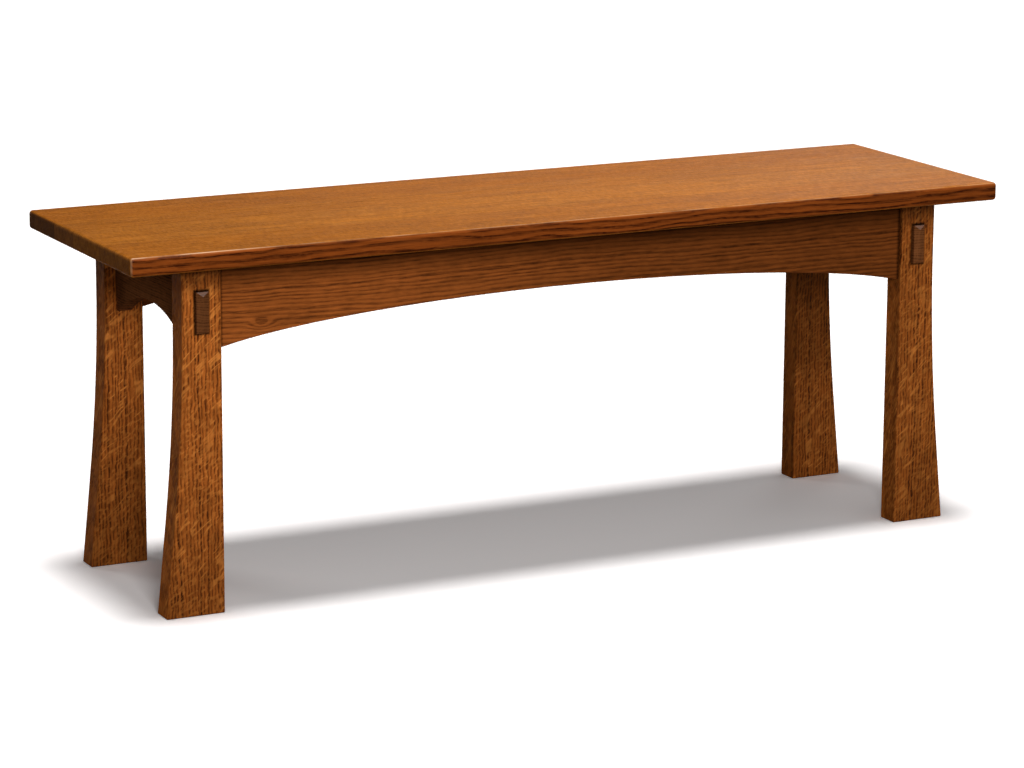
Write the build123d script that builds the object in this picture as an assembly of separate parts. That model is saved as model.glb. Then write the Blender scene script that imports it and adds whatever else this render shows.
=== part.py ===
from build123d import *
import os
from math import sqrt

# Oak bench: an edge-glued seat on four flared legs, joined by arched aprons.
# Millimetres. +X runs along the bench, +Y to its back, +Z up.
# The origin is on the floor, under the middle of the seat.

# Seat
seat_length = 1219.2
seat_depth = 355.6
seat_height = 457.2
seat_thickness = 23.8
seat_edge_radius = 4.8
seat_end_overhang = 76.2
seat_side_overhang = 31.75
# Glue lines between the four boards, from the front edge to the back.
seam_shares = (0.26, 0.545, 0.733)

# Legs: straight on the inner face, flared on the outer one
leg_thickness = 31.75
leg_top_width = 50.8
leg_foot_width = 76.2
leg_knee_height = 244.0
leg_flare_reach = 122.0
leg_easing = 1.0

# Aprons
apron_thickness = 19.05
apron_setback = 4.8
apron_end_height = 101.6
apron_easing = 0.8
long_apron_mid_height = 66.7
end_apron_mid_height = 68.3
arch_land = 5.0

# Blind tenons on the long aprons
stub_length = 12.7
stub_thickness = 9.5
stub_top_shoulder = 25.4
stub_bottom_shoulder = 12.7
stub_clearance = 0.15
stub_end_room = 1.6

# Through tenons on the end aprons, with a hipped end that stands proud of the leg
through_width = 15.9
through_height = 50.8
through_top_shoulder = 30.2
through_clearance = 0.3
through_proud = 6.35
hip_rise = 2.6
hip_run = 5.8
mouth_chamfer = 1.2

# Wooden buttons that hold the seat down, and the groove that takes their tongues
groove_drop = 12.7
groove_width = 7.2
groove_depth = 9.5
button_length = 34.0
button_width = 25.4
button_gap = 1.5
button_chamfer = 5.0
tongue_thickness = 6.4
tongue_reach = 7.0
# How far out the end buttons of a long apron stand, as a share of its half length
button_spread_share = 0.725

# Corner blocks
block_reach = 44.0
block_ear = 9.5
block_height = 50.8
block_drop = 25.4
block_grip = 14.0
block_screw_inset = 20.0
long_screw_height_share = 0.32
end_screw_height_share = 0.68

# Wood screws
screw_sides = 12
screw_radius = 2.1
screw_head_radius = 4.1
screw_head_height = 2.6
screw_head_crown = 0.9
screw_point = 6.0
screw_point_radius = 0.3
screw_bite = 12.0
screw_clearance = 0.1
screw_tip_room = 1.0
pocket_clearance = 0.6

# How far a cut runs past the piece that it cuts
overrun = 2.0

# Places that follow from the sizes above
underside = seat_height - seat_thickness
leg_outer_x = seat_length / 2 - seat_end_overhang
leg_inner_x = leg_outer_x - leg_top_width
leg_middle_x = leg_outer_x - leg_top_width / 2
leg_foot_x = leg_inner_x + leg_foot_width
leg_outer_y = seat_depth / 2 - seat_side_overhang
leg_inner_y = leg_outer_y - leg_thickness
long_apron_outer_y = leg_outer_y - apron_setback
long_apron_inner_y = long_apron_outer_y - apron_thickness
long_apron_middle_y = long_apron_outer_y - apron_thickness / 2
end_apron_inner_x = leg_middle_x - apron_thickness / 2
apron_low = underside - apron_end_height
stub_low = apron_low + stub_bottom_shoulder
stub_high = underside - stub_top_shoulder
through_high = underside - through_top_shoulder
through_low = through_high - through_height
through_reach = leg_thickness + through_proud
button_height = groove_drop + tongue_thickness
button_screw_y = -button_gap - button_length / 2
button_screw_length = button_height + screw_bite
button_spread = button_spread_share * leg_inner_x
block_low = underside - block_drop - block_height
block_screw_length = block_grip + screw_bite


def span_box(low, high):
    """A box between two opposite corners."""
    size = [b - a for a, b in zip(low, high)]
    return Pos(*low) * Box(*size, align=Align.MIN)


def in_corner(shape, side_x, side_y):
    """A shape made for the right back corner of the bench, in the corner that is asked for."""
    if side_x < 0:
        shape = mirror(shape, about=Plane.YZ)
    if side_y < 0:
        shape = mirror(shape, about=Plane.XZ)
    return shape


def wood_screw(length):
    """Along +Z, with the underside of its pan head at zero. Its rounds are many-sided."""
    head = extrude(RegularPolygon(screw_head_radius, screw_sides), -screw_head_height)
    head = chamfer(head.faces().sort_by(Axis.Z)[0].edges(), screw_head_crown)
    round_shank = RegularPolygon(screw_radius, screw_sides)
    point = [
        Pos(0, 0, length - screw_point) * round_shank,
        Pos(0, 0, length) * RegularPolygon(screw_point_radius, screw_sides),
    ]
    return head + extrude(round_shank, length - screw_point) + loft(point, ruled=True)


def screw_hole(length):
    """The hole that a screw of this length takes, from the underside of its head."""
    return Cylinder(
        screw_radius + screw_clearance,
        length + screw_tip_room,
        align=(Align.CENTER, Align.CENTER, Align.MIN),
    )


def block_screw_planes():
    """Head seats of the two screws in the right back corner block: into the long apron, then the end one."""
    into_long = Plane(
        origin=(
            leg_inner_x - block_screw_inset,
            long_apron_inner_y - block_grip,
            block_low + long_screw_height_share * block_height,
        ),
        z_dir=(0, 1, 0),
    )
    into_end = Plane(
        origin=(
            end_apron_inner_x - block_grip,
            leg_inner_y - block_screw_inset,
            block_low + end_screw_height_share * block_height,
        ),
        z_dir=(1, 0, 0),
    )
    return into_long, into_end


def button_places():
    """Where each button stands: at the apron's inner face under the seat, its tongue along its own +Y."""
    places = {}
    for name, x in (("left", -button_spread), ("middle", 0), ("right", button_spread)):
        places[f"seat_button_back_{name}"] = Location((x, long_apron_inner_y, underside))
        places[f"seat_button_front_{name}"] = Location((x, -long_apron_inner_y, underside), (0, 0, 180))
    places["seat_button_right_end"] = Location((end_apron_inner_x, 0, underside), (0, 0, -90))
    places["seat_button_left_end"] = Location((-end_apron_inner_x, 0, underside), (0, 0, 90))
    return places


def button_screw_place(place):
    """The head seat of a button's screw, which points up into the seat."""
    return place * Pos(0, button_screw_y, -button_height)


def seat_boards():
    """Four boards with rounded outer edges, glued edge to edge into one top."""
    slab = Pos(0, 0, underside + seat_thickness / 2) * Box(seat_length, seat_depth, seat_thickness)
    slab = fillet(slab.edges(), seat_edge_radius)
    for place in button_places().values():
        slab -= button_screw_place(place) * screw_hole(button_screw_length)
    front = -seat_depth / 2
    seams = [front + share * seat_depth for share in (0, *seam_shares, 1)]
    names = ("front", "mid_front", "mid_back", "back")
    boards = {}
    for name, low_y, high_y in zip(names, seams, seams[1:]):
        low = (-seat_length / 2, low_y, underside)
        high = (seat_length / 2, high_y, seat_height)
        boards[f"seat_board_{name}"] = slab & span_box(low, high)
    return boards


def leg_outline():
    """In X and Z: a straight inner edge, and an outer edge that flares from the knee in one long arc."""
    knee = Vector(leg_outer_x, leg_knee_height)
    foot = Vector(leg_foot_x, 0)
    flare_top = knee + Vector(0, leg_flare_reach)
    flare_end = knee + (foot - knee).normalized() * leg_flare_reach
    upper = Polyline((leg_inner_x, 0), (leg_inner_x, underside), (leg_outer_x, underside), flare_top)
    flare = TangentArc(flare_top, flare_end, tangent=(0, -1))
    lower = Polyline(flare_end, foot, (leg_inner_x, 0))
    return make_face([*upper.edges(), *flare.edges(), *lower.edges()])


def through_mortise():
    """The slot through a leg that a through tenon passes."""
    return span_box(
        (
            leg_middle_x - through_width / 2 - through_clearance,
            leg_inner_y - overrun,
            through_low - through_clearance,
        ),
        (
            leg_middle_x + through_width / 2 + through_clearance,
            leg_outer_y + overrun,
            through_high + through_clearance,
        ),
    )


def stub_mortise():
    """The blind slot in a leg's inner face that takes a long apron's tenon."""
    half = stub_thickness / 2 + stub_clearance
    return span_box(
        (leg_inner_x - overrun, long_apron_middle_y - half, stub_low - stub_clearance),
        (leg_inner_x + stub_length + stub_end_room, long_apron_middle_y + half, stub_high + stub_clearance),
    )


def leg():
    """The right back leg, with eased edges, two mortises and a chamfered outer mouth."""
    leg = extrude(Plane.XZ * leg_outline(), -leg_thickness)
    leg = Pos(0, leg_inner_y, 0) * leg
    eased = leg.edges().filter_by(lambda edge: edge.center().Z < underside - leg_easing)
    leg = chamfer(eased, leg_easing)
    leg = leg - through_mortise() - stub_mortise()
    mouth = leg.faces().sort_by(Axis.Y)[-1].inner_wires()[0]
    return chamfer(mouth.edges(), mouth_chamfer)


def ease_arch(apron):
    """Takes the sharp corner off both lower edges of an apron's arch."""
    arch = apron.edges().filter_by(lambda edge: edge.geom_type in (GeomType.ELLIPSE, GeomType.CIRCLE))
    return chamfer(arch, apron_easing)


def long_apron():
    """The back apron: an elliptical arch below, a blind tenon at each end and a groove for the buttons."""
    arch_half_span = leg_inner_x - arch_land
    arch_radius = leg_outer_x
    arch_rise = apron_end_height - long_apron_mid_height
    arch_height = arch_rise / (1 - sqrt(1 - (arch_half_span / arch_radius) ** 2))
    board = Pos(0, underside) * Rectangle(2 * leg_inner_x, apron_end_height, align=(Align.CENTER, Align.MAX))
    arch = Pos(0, apron_low + arch_rise - arch_height) * Ellipse(arch_radius, arch_height)
    apron = extrude(Plane.XZ * (board - arch), -apron_thickness)
    apron = ease_arch(Pos(0, long_apron_inner_y, 0) * apron)
    groove_high = underside - groove_drop
    apron -= span_box(
        (-leg_inner_x - overrun, long_apron_inner_y - overrun, groove_high - groove_width),
        (leg_inner_x + overrun, long_apron_inner_y + groove_depth, groove_high),
    )
    tenon = span_box(
        (leg_inner_x, long_apron_middle_y - stub_thickness / 2, stub_low),
        (leg_inner_x + stub_length, long_apron_middle_y + stub_thickness / 2, stub_high),
    )
    hole = block_screw_planes()[0] * screw_hole(block_screw_length)
    for side in (1, -1):
        apron += in_corner(tenon, side, 1)
        apron -= in_corner(hole, side, 1)
    return apron


def through_tenon():
    """The back tenon of the right end apron. Two crossed outlines give its end the four slopes of a hipped roof."""
    eave = through_reach - hip_rise
    plan = Polyline(
        (-through_width / 2, 0),
        (-through_width / 2, eave),
        (0, through_reach),
        (through_width / 2, eave),
        (through_width / 2, 0),
        close=True,
    )
    side = Polyline(
        (0, through_low),
        (eave, through_low),
        (through_reach, through_low + hip_run),
        (through_reach, through_high - hip_run),
        (eave, through_high),
        (0, through_high),
        close=True,
    )
    seen_from_above = Pos(0, 0, through_low) * extrude(make_face(plan), through_height)
    seen_from_side = Pos(-through_width / 2, 0, 0) * extrude(Plane.YZ * make_face(side), through_width)
    return Pos(leg_middle_x, leg_inner_y, 0) * (seen_from_above & seen_from_side)


def end_apron():
    """The right end apron: a round arch below, a groove for a button and a through tenon at each end."""
    arch_half_span = leg_inner_y - arch_land
    crown = underside - end_apron_mid_height
    sides = Polyline(
        (-arch_half_span, apron_low),
        (-leg_inner_y, apron_low),
        (-leg_inner_y, underside),
        (leg_inner_y, underside),
        (leg_inner_y, apron_low),
        (arch_half_span, apron_low),
    )
    arch = ThreePointArc((arch_half_span, apron_low), (0, crown), (-arch_half_span, apron_low))
    outline = make_face([*sides.edges(), *arch.edges()])
    apron = ease_arch(Pos(end_apron_inner_x, 0, 0) * extrude(Plane.YZ * outline, apron_thickness))
    groove_high = underside - groove_drop
    apron -= span_box(
        (end_apron_inner_x - overrun, -leg_inner_y - overrun, groove_high - groove_width),
        (end_apron_inner_x + groove_depth, leg_inner_y + overrun, groove_high),
    )
    hole = block_screw_planes()[1] * screw_hole(block_screw_length)
    for side in (1, -1):
        apron += in_corner(through_tenon(), 1, side)
        apron -= in_corner(hole, 1, side)
    return apron


def corner_block():
    """The right back block, fitted around the leg and screwed to both aprons from pockets in its open side."""
    long_end_x = leg_inner_x - block_reach
    short_end_y = leg_inner_y - block_reach
    outline = Polyline(
        (long_end_x, long_apron_inner_y),
        (leg_inner_x, long_apron_inner_y),
        (leg_inner_x, leg_inner_y),
        (end_apron_inner_x, leg_inner_y),
        (end_apron_inner_x, short_end_y),
        (end_apron_inner_x - block_ear, short_end_y),
        (long_end_x, long_apron_inner_y - block_ear),
        close=True,
    )
    block = Pos(0, 0, block_low) * extrude(make_face(outline), block_height)
    pocket = Cylinder(
        screw_head_radius + pocket_clearance,
        block_reach,
        align=(Align.CENTER, Align.CENTER, Align.MAX),
    )
    for plane in block_screw_planes():
        block -= plane * screw_hole(block_screw_length)
        block -= plane * pocket
    return block


def corner_block_screws():
    """Eight screws: one into each apron from each corner block."""
    pair = [plane * wood_screw(block_screw_length) for plane in block_screw_planes()]
    sides = (1, -1)
    return [in_corner(screw, x, y) for x in sides for y in sides for screw in pair]


def seat_button():
    """A button with its tongue along +Y, and a chamfer under its far end."""
    outline = Polyline(
        (-button_gap, 0),
        (-button_gap - button_length, 0),
        (-button_gap - button_length, button_chamfer - button_height),
        (-button_gap - button_length + button_chamfer, -button_height),
        (tongue_reach, -button_height),
        (tongue_reach, -groove_drop),
        (-button_gap, -groove_drop),
        close=True,
    )
    button = Pos(-button_width / 2, 0, 0) * extrude(Plane.YZ * make_face(outline), button_width)
    return button - Pos(0, button_screw_y, -button_height) * screw_hole(button_screw_length)


def write(name, shape):
    """Writes one sub-part, whose pieces are a single solid or a list of them."""
    shape = Compound(children=shape) if isinstance(shape, list) else shape
    export_step(shape, f"parts/{name}.step")


os.makedirs("parts", exist_ok=True)

for board_name, board in seat_boards().items():
    write(board_name, board)

one_leg = leg()
one_block = corner_block()
for x_name, x_side in (("left", -1), ("right", 1)):
    for y_name, y_side in (("front", -1), ("back", 1)):
        write(f"leg_{y_name}_{x_name}", in_corner(one_leg, x_side, y_side))
        write(f"corner_block_{y_name}_{x_name}", in_corner(one_block, x_side, y_side))

one_long_apron = long_apron()
write("apron_back", one_long_apron)
write("apron_front", in_corner(one_long_apron, 1, -1))

one_end_apron = end_apron()
write("apron_right_end", one_end_apron)
write("apron_left_end", in_corner(one_end_apron, -1, 1))

one_button = seat_button()
for button_name, button_place in button_places().items():
    write(button_name, button_place * one_button)

write("corner_block_screws", corner_block_screws())
button_screw = wood_screw(button_screw_length)
write("seat_button_screws", [button_screw_place(place) * button_screw for place in button_places().values()])
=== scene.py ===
import math

import bpy
from mathutils import Matrix, Vector


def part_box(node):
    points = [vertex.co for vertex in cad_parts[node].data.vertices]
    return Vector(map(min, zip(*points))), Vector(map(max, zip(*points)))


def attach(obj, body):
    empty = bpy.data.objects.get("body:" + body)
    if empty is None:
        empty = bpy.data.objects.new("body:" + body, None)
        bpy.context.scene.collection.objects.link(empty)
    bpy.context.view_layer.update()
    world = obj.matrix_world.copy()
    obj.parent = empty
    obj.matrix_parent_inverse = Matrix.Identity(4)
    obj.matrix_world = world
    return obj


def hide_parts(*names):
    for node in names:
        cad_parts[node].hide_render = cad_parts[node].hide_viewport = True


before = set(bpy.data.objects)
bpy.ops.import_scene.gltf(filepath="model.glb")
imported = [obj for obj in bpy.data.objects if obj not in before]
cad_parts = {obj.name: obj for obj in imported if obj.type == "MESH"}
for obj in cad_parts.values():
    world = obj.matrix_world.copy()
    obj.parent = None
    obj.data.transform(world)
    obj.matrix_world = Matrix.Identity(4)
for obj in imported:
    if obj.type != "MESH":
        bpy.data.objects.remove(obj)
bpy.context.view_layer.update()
scene = bpy.context.scene

MM = 0.001
X, Y, Z = range(3)
WHITE = (1.0, 1.0, 1.0)


# Node trees

class Tree:
    """Adds nodes to a node tree with short calls. Values may be numbers, vectors or sockets."""

    def __init__(self, tree):
        self.tree = tree

    def put(self, socket, value):
        if isinstance(value, bpy.types.NodeSocket):
            self.tree.links.new(value, socket)
        else:
            socket.default_value = value

    def add(self, kind, inputs=None, **settings):
        node = self.tree.nodes.new(kind)
        for name, value in settings.items():
            setattr(node, name, value)
        for name, value in (inputs or {}).items():
            self.put(node.inputs[name], value)
        return node

    def math(self, operation, *values, clamp=False):
        node = self.add("ShaderNodeMath", operation=operation, use_clamp=clamp)
        for socket, value in zip(node.inputs, values):
            self.put(socket, value)
        return node.outputs[0]

    def plus(self, a, b):
        return self.math("ADD", a, b)

    def minus(self, a, b):
        return self.math("SUBTRACT", a, b)

    def times(self, value, *factors):
        for factor in factors:
            value = self.math("MULTIPLY", value, factor)
        return value

    def line(self, value, slope, start):
        """value * slope + start."""
        return self.math("MULTIPLY_ADD", value, slope, start)

    def highest(self, value, *others):
        for other in others:
            value = self.math("MAXIMUM", value, other)
        return value

    def vector(self, operation, *values):
        node = self.add("ShaderNodeVectorMath", operation=operation)
        for socket, value in zip(node.inputs, values):
            self.put(socket, value)
        return node.outputs["Value" if operation in ("LENGTH", "DOT_PRODUCT") else "Vector"]

    def join(self, x, y=0.0, z=0.0):
        return self.add("ShaderNodeCombineXYZ", {"X": x, "Y": y, "Z": z}).outputs[0]

    def split(self, vector):
        return self.add("ShaderNodeSeparateXYZ", {"Vector": vector}).outputs

    def noise(self, place, scale, detail=2.0, roughness=0.5):
        """Noise of unit size along each axis of place * scale, near 0.5 on average."""
        node = self.add("ShaderNodeTexNoise", {"Detail": detail, "Roughness": roughness, "Scale": 1.0})
        self.put(node.inputs["Vector"], self.vector("MULTIPLY", place, scale))
        return node.outputs[0]

    def swing(self, place, scale, amount, detail=2.0):
        """Noise that swings about zero, by half of amount at most."""
        return self.line(self.noise(place, scale, detail), amount, -0.5 * amount)

    def ramp(self, value, low, high, to_low=0.0, to_high=1.0):
        """A smooth step from to_low to to_high as value goes from low to high."""
        parts = {"Value": value, "From Min": low, "From Max": high, "To Min": to_low, "To Max": to_high}
        return self.add("ShaderNodeMapRange", parts, interpolation_type="SMOOTHSTEP").outputs[0]

    def fall(self, value, low, high, rest=0.0):
        """A smooth step from 1 down to rest as value goes from low to high."""
        return self.ramp(value, low, high, 1.0, rest)

    def mix(self, share, a, b, blend="MIX"):
        node = self.add("ShaderNodeMix", data_type="RGBA", blend_type=blend)
        self.put(node.inputs[0], share)
        self.put(node.inputs[6], a)
        self.put(node.inputs[7], b)
        return node.outputs[2]

    def shaded(self, paint, tone):
        """A colour times a grey tone."""
        return self.mix(1.0, paint, self.join(tone, tone, tone), "MULTIPLY")

    def seen(self):
        """1 for what the camera sees, straight or mirrored or through glass, and 0 for light."""
        path = self.add("ShaderNodeLightPath").outputs
        return self.highest(path["Is Camera Ray"], path["Is Glossy Ray"], path["Is Transmission Ray"])

    def surface(self, shader, inputs, output="ShaderNodeOutputMaterial"):
        """Ends the tree in one shader."""
        self.add(output, {"Surface": self.add(shader, inputs).outputs[0]})


def material(name):
    """A new material and its empty tree."""
    made = bpy.data.materials.new(name)
    made.use_nodes = True
    made.node_tree.nodes.clear()
    return made, Tree(made.node_tree)


def colour(r, g, b):
    """A colour given in sRGB steps of 0 to 255."""
    def linear(v):
        v /= 255
        return v / 12.92 if v <= 0.04045 else ((v + 0.055) / 1.055) ** 2.4
    return (linear(r), linear(g), linear(b), 1.0)


# Oak
#
# The wood is a solid log with its grain along its own X. Y runs from the pith to the bark and Z along the
# rings. A board is a piece of that log, so its faces, edges and ends agree with each other. All the sizes
# of its figure are in mm, and the scale of a noise is one over the size of its spots along X, Y and Z.

OAK_INPUTS = {
    "Place": "Vector",  # the place in the log
    "Swirl": "Float",  # how far a knot pushes the rings out
    "End": "Float",  # 1 on end grain, 0 elsewhere
    "End Tone": "Float",  # how light end grain is
    "Ring": "Float",  # from one ring to the next
    "Wander": "Float",  # how far the rings wander along the log
    "Uneven": "Float",  # how much the rings differ in width
    "Ripple": "Float",  # small waves in the grain
    "Broken": "Float",  # how short the pores are
    "Rays": "Float",  # how strong the flecks are
    "Ray Tilt": "Vector",  # how far the flecks slant
    "Contrast": "Float",  # how dark early wood and pores are
    "Mottle": "Float",  # soft patches
    "Speckle": "Float",  # fine patches
    "Tint": "Color",
    "Late": "Color",
    "Early": "Color",
    "Ray": "Color",
}
OAK_OUTPUTS = {"Color": "Color", "Roughness": "Float", "Height": "Float"}


def oak_group():
    group = bpy.data.node_groups.new("oak", "ShaderNodeTree")
    for way, sockets in (("INPUT", OAK_INPUTS), ("OUTPUT", OAK_OUTPUTS)):
        for name, kind in sockets.items():
            group.interface.new_socket(name, in_out=way, socket_type="NodeSocket" + kind)
    t = Tree(group)
    given = t.add("NodeGroupInput").outputs
    place = given["Place"]

    # Growth rings round the pith, which wander slowly along the log
    slow = t.swing(place, (0.0035, 0.012, 0.012), amount=16.0, detail=1.0)
    quick = t.swing(place, (0.018, 0.06, 0.06), amount=4.0, detail=1.0)
    wander = t.times(t.plus(slow, quick), given["Wander"])
    ripple = t.times(t.swing(place, (0.1, 0.12, 0.12), amount=2.0), given["Ripple"])
    radius = t.vector("LENGTH", t.vector("MULTIPLY", place, (0.0, 1.0, 1.0)))
    radius = t.plus(t.plus(radius, wander), t.plus(given["Swirl"], ripple))
    turns = t.math("DIVIDE", radius, given["Ring"])
    uneven = t.times(t.swing(t.join(turns), (0.31, 0.0, 0.0), amount=1.0, detail=1.0), given["Uneven"])
    phase = t.plus(turns, uneven)
    share = t.math("FRACT", phase)
    ring = t.math("FLOOR", phase)
    chance = t.add("ShaderNodeTexWhiteNoise", {"W": ring}, noise_dimensions="1D").outputs[0]

    # Early wood: it starts at once with a ring and fades into the late wood
    early_end = t.line(chance, 0.22, 0.24)
    early = t.times(t.ramp(share, 0.0, 0.16), t.fall(share, early_end, t.plus(early_end, 0.42)))
    early = t.times(early, t.line(chance, 0.35, 0.6))

    # Pores: long tubes along the grain, thick in the early wood
    drawn = t.vector("MULTIPLY", place, t.join(given["Broken"], 1.0, 1.0))
    dashes = t.ramp(t.noise(drawn, (0.1, 0.75, 0.75), roughness=0.6), 0.42, 0.6)
    tubes = t.ramp(t.noise(drawn, (0.09, 1.9, 1.9), roughness=0.6), 0.47, 0.64)
    fine = t.noise(drawn, (0.07, 1.4, 1.4), detail=3.0, roughness=0.6)
    pores = t.times(tubes, t.line(early, 0.75, 0.25))

    # Rays: sheets from the pith to the bark. Wide ones are the thin lines where a noise crosses its middle,
    # cut up by a second noise, and small ones lie between them.
    log_x, log_y, log_z = t.split(place)
    tilt = t.vector("DOT_PRODUCT", place, given["Ray Tilt"])
    bend = t.swing(place, (0.02, 0.035, 0.02), amount=5.0)
    sheet = t.join(log_x, log_y, t.plus(t.plus(tilt, bend), log_z))
    patch = t.ramp(t.noise(place, (0.011, 0.03, 0.02), detail=1.0), 0.38, 0.6)
    thin = t.math("ABSOLUTE", t.minus(t.noise(sheet, (0.012, 0.012, 0.2), detail=1.0), 0.5))
    cut = t.ramp(t.noise(place, (0.045, 0.09, 0.09), detail=1.0), 0.44, 0.56)
    wide = t.times(t.fall(thin, 0.012, 0.07), cut, t.line(patch, 0.7, 0.3))
    small = t.ramp(t.noise(sheet, (0.15, 0.12, 0.45), detail=1.0), 0.5, 0.64)
    small = t.times(small, t.line(patch, -0.3, 0.6))
    rays = t.math("MULTIPLY", t.highest(wide, small), given["Rays"], clamp=True)

    # Colour
    dark = t.times(early, t.line(dashes, 0.5, 0.4))
    dark = t.plus(dark, t.times(pores, 0.4))
    dark = t.plus(dark, t.line(fine, 1.1, -0.5))
    dark = t.math("MULTIPLY", dark, given["Contrast"], clamp=True)
    body = t.mix(dark, given["Late"], given["Early"])
    body = t.mix(rays, body, given["Ray"])
    cloud = t.minus(t.noise(place, (0.006, 0.03, 0.03), detail=3.0, roughness=0.7), 0.5)
    mottle = t.plus(t.swing(place, (0.05, 0.1, 0.1), amount=0.8),
                    t.swing(drawn, (0.2, 0.42, 0.42), amount=0.7))
    speckle = t.swing(place, (0.33, 0.11, 0.11), amount=1.0)
    shade = t.line(cloud, 0.7, 1.0)
    shade = t.line(mottle, given["Mottle"], shade)
    shade = t.line(speckle, given["Speckle"], shade)
    shade = t.times(shade, t.line(given["End"], t.minus(given["End Tone"], 1.0), 1.0))
    body = t.mix(1.0, body, given["Tint"], "MULTIPLY")
    body = t.shaded(body, shade)

    # Pores and end grain are dull, rays are smooth, and pores and early wood lie low
    rough = t.line(pores, 0.2, 0.42)
    rough = t.line(rays, -0.06, rough)
    rough = t.line(cloud, 0.15, rough)
    rough = t.line(given["End"], 0.15, rough)
    height = t.minus(t.times(rays, 0.25), t.plus(pores, t.times(early, 0.25)))
    t.add("NodeGroupOutput", {"Color": body, "Roughness": rough, "Height": height})
    return group


OAK = oak_group()
PORE_DEPTH = 0.12 * MM
SEAT_SHADE_BAND = 0.392, 0.424  # m above the floor, where the painted shade under the seat starts and is darkest
SEAT_SHADE_BARK_DROP = 0.1  # m lower for the start of that painted shade on a bark face
MOUTH_SHADE = 1.2 * MM, 4.2 * MM, 0.2  # how far out the shade painted round a mouth is full and gone, and its tone
SHOULDER_SHADE = 5.0 * MM, 1.0 * MM, 0.3  # the same for the shade painted at a shoulder, inward
# The colour of the highlight painted on rounded front edges
HIGHLIGHT_PAINT = colour(232, 190, 152)


def mouth_shade_tone(t, xyz, centre, joint):
    """Shade painted round the mouth of a joint, darkest at the mouth. joint has two bounds in mm for each
    axis that it uses.
    """
    full, gone, tone = MOUTH_SHADE
    reach = []
    for axis, (near, far) in joint.items():
        away = t.minus(xyz[axis], MM * (near + far) / 2 - float(centre[axis]))
        reach.append(t.minus(t.math("ABSOLUTE", away), MM * (far - near) / 2))
    return t.ramp(t.highest(*reach), full, gone, tone, 1.0)


def knot_swirl(t, point, middle, size, push):
    """How far the rings are pushed out round a knot, all in mm."""
    away = t.vector("SUBTRACT", point, tuple(MM * v for v in middle))
    near = t.vector("LENGTH", t.vector("DIVIDE", away, tuple(MM * v for v in size)))
    return t.ramp(near, 0.0, 1.0, push, 0.0)


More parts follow.
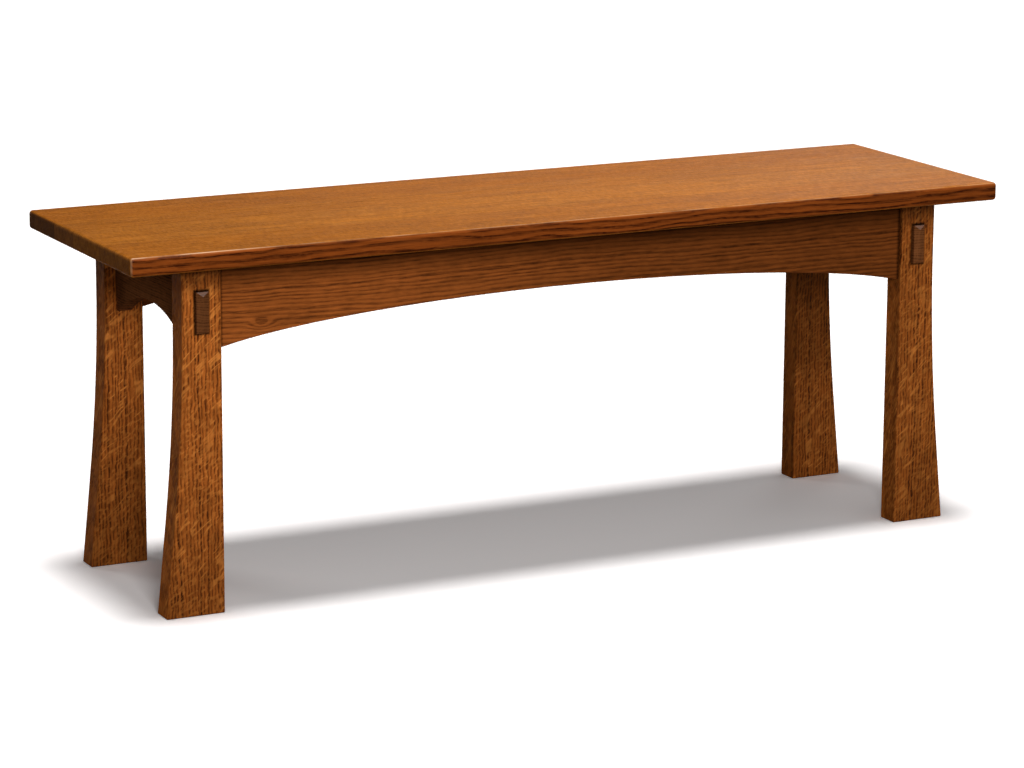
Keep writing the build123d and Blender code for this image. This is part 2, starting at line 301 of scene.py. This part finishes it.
def oak(node, grain, outward, log=(0, 150, 0), ring=2.4, wander=1.0, uneven=1.3, ripple=0.3, broken=1.0,
        rays=1.0, ray_tilt=(0, 0, 0), mottle=0.3, speckle=0.0, flat=1.0, quarter=1.0, flat_tint=WHITE,
        quarter_tint=WHITE, fade=None, end_tone=0.4, shine=0.04, flat_shine=1.0, end_shine=0.0, polish=0.0,
        edge_highlight=None, knot=None, joint=None, under=None, shoulder=None,
        late=(186, 108, 50), early=(96, 46, 20), ray=(214, 140, 74)):
    """Dresses a node in oak whose grain and bark point along the given axes, with its middle at log, in mm.

    flat is the contrast on faces that look to the bark or the pith and quarter on all others, and
    flat_tint and quarter_tint colour them, and on some pieces they paint the shade that falls on those
    faces. fade holds two places along the grain, in half lengths from the middle, and the tones there,
    which paint the light and shade along the piece as well as its own tone. shine is the gloss, or the
    glosses at those two places, flat_shine a factor on it for bark faces and end_shine the gloss of end
    grain. polish is the gloss of rounded upper edges. edge_highlight is how strong a highlight is painted
    on the front ones, and a ramp of it along X. knot is the middle, the size and the push of a knot, joint
    the box of a tenon's mouth, round which shade is painted, under the tone of the shade painted close
    under the seat and shoulder the half length between the legs, where a line of shade is painted. late,
    early and ray are colours in sRGB steps. What the others do is said at OAK_INPUTS.
    """
    made, t = material(f"oak_{node}")
    low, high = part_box(node)
    centre = (low + high) / 2
    half = float((high - low)[grain] / 2)
    coordinates = t.add("ShaderNodeTexCoord").outputs
    xyz = t.split(t.vector("SUBTRACT", coordinates["Object"], tuple(centre)))
    place = t.join(xyz[grain], xyz[outward], xyz[3 - grain - outward])
    place = t.vector("MULTIPLY_ADD", place, (1 / MM,) * 3, tuple(float(v) for v in log))

    # Which way the surface faces
    facing = t.split(coordinates["Normal"])
    turned = [t.math("ABSOLUTE", facing[axis]) for axis in range(3)]
    end = t.ramp(turned[grain], 0.55, 0.95)
    bark = t.ramp(turned[outward], 0.5, 0.92)

    # Tint
    tint = (*quarter_tint, 1.0)
    # A tone along the grain, which paints the light and shade falling along the piece as well as its own
    # tone
    if fade:
        stretch = fade[0] * half, fade[1] * half
        tint = t.shaded(tint, t.ramp(xyz[grain], *stretch, *fade[2:]))
    # Bark faces take their own tint, which on the legs also paints the shade on their sides
    tint = t.mix(bark, tint, (*flat_tint, 1.0))
    if joint:
        # Shade is painted round the mouth of a tenon
        tint = t.shaded(tint, mouth_shade_tone(t, xyz, centre, joint))
    if shoulder:
        # A line of painted shade where the rail meets its legs
        begin, stop, tone = SHOULDER_SHADE
        away = t.math("ABSOLUTE", xyz[grain])
        tint = t.shaded(tint, t.fall(away, shoulder - begin, shoulder - stop, tone))
    if under:
        # Painted shade: the wood is darker close under the seat, where the seat's shadow falls
        begin, stop = (v - float(centre[Z]) for v in SEAT_SHADE_BAND)
        tint = t.shaded(tint, t.fall(xyz[Z], t.line(bark, -SEAT_SHADE_BARK_DROP, begin), stop, under))

    given = {
        "Place": place,
        "Swirl": knot_swirl(t, coordinates["Object"], *knot) if knot else 0.0,
        "End": end, "End Tone": end_tone,
        "Ring": ring, "Wander": wander, "Uneven": uneven, "Ripple": ripple, "Broken": broken,
        "Rays": rays, "Ray Tilt": ray_tilt,
        "Contrast": t.line(bark, flat - quarter, quarter),
        "Mottle": mottle,
        "Speckle": t.line(bark, -speckle, speckle) if speckle else 0.0,
        "Tint": tint, "Late": colour(*late), "Early": colour(*early), "Ray": colour(*ray)}
    wood = t.add("ShaderNodeGroup", given, node_tree=OAK)
    bump = t.add("ShaderNodeBump", {
        "Height": wood.outputs["Height"], "Strength": 0.6, "Distance": PORE_DEPTH})
    paint, rough = wood.outputs["Color"], wood.outputs["Roughness"]

    # Gloss
    if isinstance(shine, tuple):
        shine = t.ramp(xyz[grain], *stretch, *shine)
    gloss = t.times(t.fall(bark, 0.0, 1.0, flat_shine), shine)
    gloss = t.line(end, end_shine, t.times(gloss, t.minus(1.0, end)))
    if polish:
        # Rounded upper edges face up and between two axes
        rounded = t.times(t.fall(t.highest(*turned), 0.92, 0.985), t.ramp(facing[Z], 0.15, 0.4))
        if edge_highlight:
            # A highlight is painted on the front edge and the corners, most along the ridge of the rounding
            share, along = edge_highlight
            rounded = t.times(rounded, t.fall(facing[Y], -0.5, -0.2), t.ramp(xyz[X], *along))
            ridge = t.times(t.ramp(facing[Z], 0.66, 0.82), t.fall(facing[Z], 0.87, 0.95),
                            t.fall(facing[Y], -0.4, -0.2))
            corner = t.ramp(t.highest(facing[X], facing[Y]), -0.55, -0.4, 0.25, 0.0)
            highlit = t.times(t.ramp(t.noise(place, (0.02, 0.1, 0.1), detail=3.0), 0.25, 0.6),
                             t.ramp(xyz[X], *along))
            paint = t.mix(t.times(t.highest(ridge, corner), highlit, share), paint, HIGHLIGHT_PAINT)
        gloss = t.highest(gloss, t.times(rounded, polish))
        rough = t.line(rounded, -0.12, rough)
    t.surface("ShaderNodeBsdfPrincipled", {
        "Base Color": paint, "Roughness": rough, "Normal": bump.outputs[0], "Specular IOR Level": gloss})
    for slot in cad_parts[node].material_slots:
        slot.material = made


# Seat boards: grain along X, rings standing on edge, each from its own log. Their fade is painted light,
# lighter towards the right end of the top.
# How strong the highlight painted on the rounded front edges is, and a ramp of it along X
FRONT_HIGHLIGHT = (0.75, (-0.54, -0.4, 1.0, 0.35))
SLIGHT_HIGHLIGHT = (0.2, (-0.6, 0.6, 1.0, 1.0))
seat_boards = {
    "front": dict(log=(900, 150, -88), late=(169, 100, 33), ray=(186, 117, 45), end_tone=0.48),
    "mid_front": dict(log=(2900, 210, -60), late=(174, 105, 36), ray=(191, 122, 48), end_tone=0.47),
    "mid_back": dict(log=(4700, 190, 70), late=(168, 100, 33), ray=(186, 117, 45), end_tone=0.39),
    "back": dict(log=(6900, 170, -50), late=(164, 96, 31), ray=(182, 112, 43), end_tone=0.2)}
for name, board in seat_boards.items():
    oak(f"seat_board_{name}", X, Y, ring=4.8, wander=1.3, broken=0.3, quarter=0.5, flat=1.35,
        flat_tint=(0.76, 0.53, 0.66), rays=0.3, ray_tilt=(0.04, 0.22, 0), mottle=0.25, speckle=0.8,
        fade=(-1.0, 0.4, 0.86, 1.09), shine=(0.0006, 0.007), end_shine=0.004, polish=0.16,
        edge_highlight=FRONT_HIGHLIGHT if name == "front" else SLIGHT_HIGHLIGHT, early=(64, 28, 9), **board)

# Legs: grain along Z, quarter-sawn front and back faces with slanting flecks
MOUTH_X, MOUTH_Z = (500.05, 515.95), (352.4, 403.2)
# Each leg's fade and flat_tint paint the light and shade that fall on it: its front lighter or darker along
# its height and its sides darker on the shaded legs. under paints shade close under the seat and joint
# round each tenon's mouth.
legs = {
    "front_left": dict(log=(0, 190, -12), fade=(-1.0, 0.0, 0.62, 1.03), flat_tint=(0.73,) * 3),
    "back_left": dict(log=(1300, 160, 20), fade=(-0.9, 0.35, 0.58, 1.07), flat_tint=(0.58,) * 3),
    "front_right": dict(log=(2700, 210, 15), fade=(-1.0, -0.2, 0.66, 0.88), flat_tint=(0.68,) * 3),
    "back_right": dict(log=(4100, 180, -20), fade=(-0.5, -0.1, 0.74, 0.4), flat_tint=(0.38,) * 3)}
for corner, leg in legs.items():
    span = MOUTH_X if corner.endswith("right") else tuple(-v for v in reversed(MOUTH_X))
    oak(f"leg_{corner}", Z, X, ring=4.6, ripple=2.4, broken=0.55, ray_tilt=(0.42, -0.36, 0), quarter=1.08,
        flat=0.7, mottle=0.9, flat_shine=0.12, under=0.36, joint={X: span, Z: MOUTH_Z}, shine=0.02,
        late=(192, 105, 41), early=(66, 28, 9), ray=(216, 130, 57), **leg)

# Long aprons: grain along X, rift-sawn faces. Their fade is part their own tone and part painted light,
# lighter at the left end; under and shoulder paint shade.
KNOT = ((-428.0, -141.0, 355.0), (26.0, 60.0, 11.0), 7.0)
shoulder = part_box("leg_front_right")[0][0]
for number, side in enumerate(("front", "back")):
    oak(f"apron_{side}", X, Z, log=(5000 + 1700 * number, 150, -70), ring=4.9, wander=0.9, uneven=1.1,
        broken=0.4, rays=0.15, quarter=0.8, flat=0.95, mottle=0.7, fade=(-0.55, 0.3, 1.15, 0.7), shine=0.01,
        knot=KNOT if side == "front" else None, under=0.36, shoulder=shoulder,
        late=(162, 87, 36), early=(62, 28, 10), ray=(169, 95, 42))

# End aprons: grain along Y. Their end tones are those of the through tenons, lighter on the right one to
# paint the light that falls on its tenon. Their quarter_tint darkens them to paint the seat's shade on
# them, and under adds painted shade close under the seat.
for number, side in enumerate(("left", "right")):
    oak(f"apron_{side}_end", Y, Z, log=(8000 + 900 * number, 230, 25), ring=3.4, rays=0.5, quarter=0.7,
        flat=1.1, quarter_tint=(0.65,) * 3, end_tone=(1.05, 1.5)[number], shine=0.0, polish=0.8, under=0.6,
        late=(140, 84, 46), early=(50, 25, 12), ray=(148, 90, 50))

# Corner blocks and seat buttons, which hardly show
for number, corner in enumerate(legs):
    oak(f"corner_block_{corner}", Z, X, log=(400 * number, 210, 30 * number), ring=2.8, rays=0.5)
buttons = [node for node in sorted(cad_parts)
           if node.startswith("seat_button") and not node.endswith("screws")]
for number, node in enumerate(buttons):
    oak(node, X if node.endswith("_end") else Y, Z, log=(330 * number, 330, 20), ring=2.6, rays=0.4)


# Screws

def steel():
    """Zinc-plated steel with small clouds and fine scratches."""
    made, t = material("zinc_plated_steel")
    place = t.vector("SCALE", t.add("ShaderNodeTexCoord").outputs["Object"])
    place.node.inputs["Scale"].default_value = 1 / MM
    cloud = t.noise(place, (0.6, 0.6, 0.6), detail=3.0)
    scratches = t.ramp(t.noise(place, (6.0, 6.0, 1.2)), 0.5, 0.66)
    paint = t.mix(t.ramp(cloud, 0.35, 0.65), colour(176, 178, 176), colour(148, 150, 150))
    paint = t.mix(t.times(scratches, 0.5), paint, colour(112, 112, 112))
    rough = t.line(scratches, 0.2, t.line(cloud, 0.2, 0.22))
    bump = t.add("ShaderNodeBump", {"Height": scratches, "Strength": 0.4, "Distance": 0.02 * MM})
    t.surface("ShaderNodeBsdfPrincipled", {
        "Base Color": paint, "Metallic": 1.0, "Roughness": rough, "Normal": bump.outputs[0]})
    return made


STEEL = steel()

# A wood screw, in mm: its head sits at z 0 and its point is at z = length
SCREW_SIDES = 20
HEAD_RADIUS, HEAD_HEIGHT, HEAD_ROUND, HEAD_STEPS, RIM_RADIUS, HEAD_BEVEL = 4.0, 2.5, 0.8, 4, 2.2, 0.25
RECESS_HALF, RECESS_DEPTH, RECESS_EASE, RECESS_TAPER = 1.25, 1.7, 0.1, 0.86
SHANK_RADIUS, SHANK_EASE, ROOT_RADIUS = 1.95, 0.1, 1.3
THREAD_PITCH, THREAD_STEPS, THREAD_SHARE, THREAD_VALLEY, THREAD_CURVE = 1.6, 6, 0.62, 0.35, 0.8
POINT_LENGTH, POINT_TIP = 5.0, 0.02
BLOCK_SCREW, SEAT_SCREW = 26.0, 31.1  # lengths


def screw_profile(length):
    """Rings of the screw from the rim of its head's recess to its point, as (z, radius, is threaded). The
    radius of a threaded ring is a share of the thread's own."""
    rings = [(-HEAD_HEIGHT, RIM_RADIUS, False)]
    for step in range(HEAD_STEPS + 1):
        angle = math.radians(90 * (1 - step / HEAD_STEPS))
        rings.append((HEAD_ROUND * (1 - math.sin(angle)) - HEAD_HEIGHT,
                      HEAD_RADIUS - HEAD_ROUND * (1 - math.cos(angle)), False))
    thread_start = length * (1 - THREAD_SHARE)
    rings += [(-HEAD_BEVEL, HEAD_RADIUS, False), (0.0, HEAD_RADIUS - HEAD_BEVEL, False),
              (0.0, SHANK_RADIUS + SHANK_EASE, False), (SHANK_EASE, SHANK_RADIUS, False),
              (thread_start, SHANK_RADIUS, False)]
    count = round((length - thread_start) / THREAD_PITCH * THREAD_STEPS)
    for step in range(1, count + 1):
        z = thread_start + (length - thread_start) * step / count
        taper = min(1.0, (length - z) / POINT_LENGTH)
        rings.append((z, max(taper, POINT_TIP), True))
    return rings


def screw_mesh(length):
    """A pan-headed screw with a square recess, a smooth shank and a sharp thread."""
    verts, faces = [], []
    rings = screw_profile(length)
    for z, radius, threaded in rings:
        for side in range(SCREW_SIDES):
            turn = side / SCREW_SIDES
            reach = radius
            if threaded:
                crest = abs(((z / THREAD_PITCH - turn) % 1.0) * 2 - 1)
                crest = max(0.0, (crest - THREAD_VALLEY) / (1 - THREAD_VALLEY)) ** THREAD_CURVE
                reach = radius * (ROOT_RADIUS + (SHANK_RADIUS - ROOT_RADIUS) * crest)
            angle = 2 * math.pi * turn
            verts.append((reach * math.cos(angle), reach * math.sin(angle), z))
    for ring in range(len(rings) - 1):
        for side in range(SCREW_SIDES):
            a, b = ring * SCREW_SIDES + side, ring * SCREW_SIDES + (side + 1) % SCREW_SIDES
            faces.append((a, b, b + SCREW_SIDES, a + SCREW_SIDES))
    faces.append(tuple(len(verts) - SCREW_SIDES + side for side in range(SCREW_SIDES)))

    # The recess: the head's top runs in to a square with a floor below it
    outer = 0
    for half, z in ((RECESS_HALF + RECESS_EASE, 0.0), (RECESS_HALF, RECESS_EASE),
                    (RECESS_TAPER * RECESS_HALF, RECESS_DEPTH)):
        inner = len(verts)
        for side in range(SCREW_SIDES):
            angle = 2 * math.pi * side / SCREW_SIDES
            c, s = math.cos(angle), math.sin(angle)
            reach = half / max(abs(c), abs(s))
            verts.append((reach * c, reach * s, z - HEAD_HEIGHT))
            after = (side + 1) % SCREW_SIDES
            faces.append((outer + after, outer + side, inner + side, inner + after))
        outer = inner
    faces.append(tuple(outer + side for side in reversed(range(SCREW_SIDES))))
    mesh = bpy.data.meshes.new("screw")
    mesh.from_pydata([(x * MM, y * MM, z * MM) for x, y, z in verts], [], faces)
    mesh.materials.append(STEEL)
    mesh.validate()
    return mesh


def screw(name, mesh, place, toward, node):
    made = bpy.data.objects.new(name, mesh)
    made.rotation_euler = Vector(toward).to_track_quat("Z", "Y").to_euler()
    made.location = Vector(place) * MM
    scene.collection.objects.link(made)
    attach(made, "root")
    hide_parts(node)


# Where the screws' heads sit, in mm
INTO_LONG = (462.6, 108.2, 373.456)
INTO_END = (484.475, 94.3, 391.744)
BUTTON_X, BUTTON_Y, BUTTON_END_X, BUTTON_Z = 349.885, 103.7, 479.975, 414.3
block_screw = screw_mesh(BLOCK_SCREW)
seat_screw = screw_mesh(SEAT_SCREW)
for x in (-1, 1):
    for y in (-1, 1):
        corner = ("back" if y > 0 else "front") + ("_right" if x > 0 else "_left")
        for rail, (far, deep, z), toward in (("long", INTO_LONG, (0, y, 0)), ("end", INTO_END, (x, 0, 0))):
            screw(f"block_screw_{corner}_{rail}", block_screw, (far * x, deep * y, z), toward,
                  "corner_block_screws")
for y, side in ((-BUTTON_Y, "front"), (BUTTON_Y, "back")):
    for x, spot in ((-BUTTON_X, "left"), (0, "middle"), (BUTTON_X, "right")):
        screw(f"seat_screw_{side}_{spot}", seat_screw, (x, y, BUTTON_Z), (0, 0, 1), "seat_button_screws")
for x, side in ((-BUTTON_END_X, "left"), (BUTTON_END_X, "right")):
    screw(f"seat_screw_{side}_end", seat_screw, (x, 0, BUTTON_Z), (0, 0, 1), "seat_button_screws")


# Floor, camera and light

FLOOR_HALF, FLOOR_DROP = 40.0, 0.2 * MM
FLOOR_LIT = (0.15, 0.15, 0.15, 1)  # what light sees, so that little colour comes back from below
FLOOR_SEEN = (1.21, 1.173, 1.165, 1)  # white outside the shadow and a warm grey in it
SENSOR, LENS = 36.0, 129.98  # mm
CAMERA_PLACE = (-2.1353, -4.1805, 1.2929)  # m
CAMERA_YAW, CAMERA_PITCH, CAMERA_ROLL = 26.876, 13.010, 0.273  # degrees to the right, down and over
BRIGHT_SIDE = (0.3, -0.954, 0.0)
WORLD_DIM, WORLD_BRIGHT = 0.05, 0.45


def floor():
    """A plain floor that is white where it is seen and keeps the bench's shadow."""
    corners = [(FLOOR_HALF * x, FLOOR_HALF * y, 0) for x, y in ((-1, -1), (1, -1), (1, 1), (-1, 1))]
    mesh = bpy.data.meshes.new("floor")
    mesh.from_pydata(corners, [], [(0, 1, 2, 3)])
    made = bpy.data.objects.new("floor", mesh)
    made.location.z = -FLOOR_DROP
    scene.collection.objects.link(made)
    finish, t = material("floor")
    t.surface("ShaderNodeBsdfDiffuse", {"Color": t.mix(t.seen(), FLOOR_LIT, FLOOR_SEEN)})
    mesh.materials.append(finish)


def camera():
    """The photograph's angle, without the shift that would keep the uprights parallel."""
    data = bpy.data.cameras.new("camera")
    data.sensor_width = SENSOR
    data.lens = LENS
    data.clip_end = 200.0
    made = bpy.data.objects.new("camera", data)
    yaw, pitch, roll = (math.radians(v) for v in (CAMERA_YAW, CAMERA_PITCH, CAMERA_ROLL))
    ahead = Vector((math.sin(yaw) * math.cos(pitch), math.cos(yaw) * math.cos(pitch), -math.sin(pitch)))
    right = ahead.cross(Vector((0, 0, 1))).normalized()
    up = right.cross(ahead)
    right, up = math.cos(roll) * right + math.sin(roll) * up, math.cos(roll) * up - math.sin(roll) * right
    turned = Matrix((right, up, -ahead)).transposed().to_4x4()
    made.matrix_world = Matrix.Translation(CAMERA_PLACE) @ turned
    scene.collection.objects.link(made)
    scene.camera = made


def lamp(data, place, toward):
    """Puts a lamp at place, looking along toward."""
    made = bpy.data.objects.new(data.name, data)
    made.location = place
    made.rotation_euler = Vector(toward).to_track_quat("-Z", "Y").to_euler()
    scene.collection.objects.link(made)


def sun(name, strength, angle, toward):
    data = bpy.data.lights.new(name, "SUN")
    data.energy = strength
    data.angle = math.radians(angle)
    lamp(data, (0, 0, 0), toward)


def softbox(name, place, target, size, power):
    data = bpy.data.lights.new(name, "AREA")
    data.shape = "RECTANGLE"
    data.size, data.size_y = size
    data.energy = power
    lamp(data, place, Vector(target) - Vector(place))


def studio():
    """A world that is white where it is seen and lights the bench softly from the front."""
    world = bpy.data.worlds.new("studio")
    scene.world = world
    world.use_nodes = True
    world.node_tree.nodes.clear()
    t = Tree(world.node_tree)
    way = t.add("ShaderNodeTexCoord").outputs["Generated"]
    light = t.ramp(t.vector("DOT_PRODUCT", way, BRIGHT_SIDE), -0.1, 1.0, WORLD_DIM, WORLD_BRIGHT)
    t.surface("ShaderNodeBackground", {"Color": (1, 1, 1, 1), "Strength": t.highest(t.seen(), light)},
              "ShaderNodeOutputWorld")


floor()
camera()
studio()
sun("overhead", strength=2.75, angle=14, toward=(0.0, 0.02, -1))
softbox("key", (-1.1, -2.6, 1.25), (0.0, 0.0, 0.3), size=(0.6, 0.5), power=32.0)
softbox("back_right", (1.9, 1.7, 1.2), (0.4, 0, 0.45), size=(1.0, 0.7), power=4.0)
softbox("back_left", (-1.7, 2.4, 1.0), (0, 0, 0.3), size=(0.9, 0.7), power=12.0)

scene.view_settings.view_transform = "Standard"
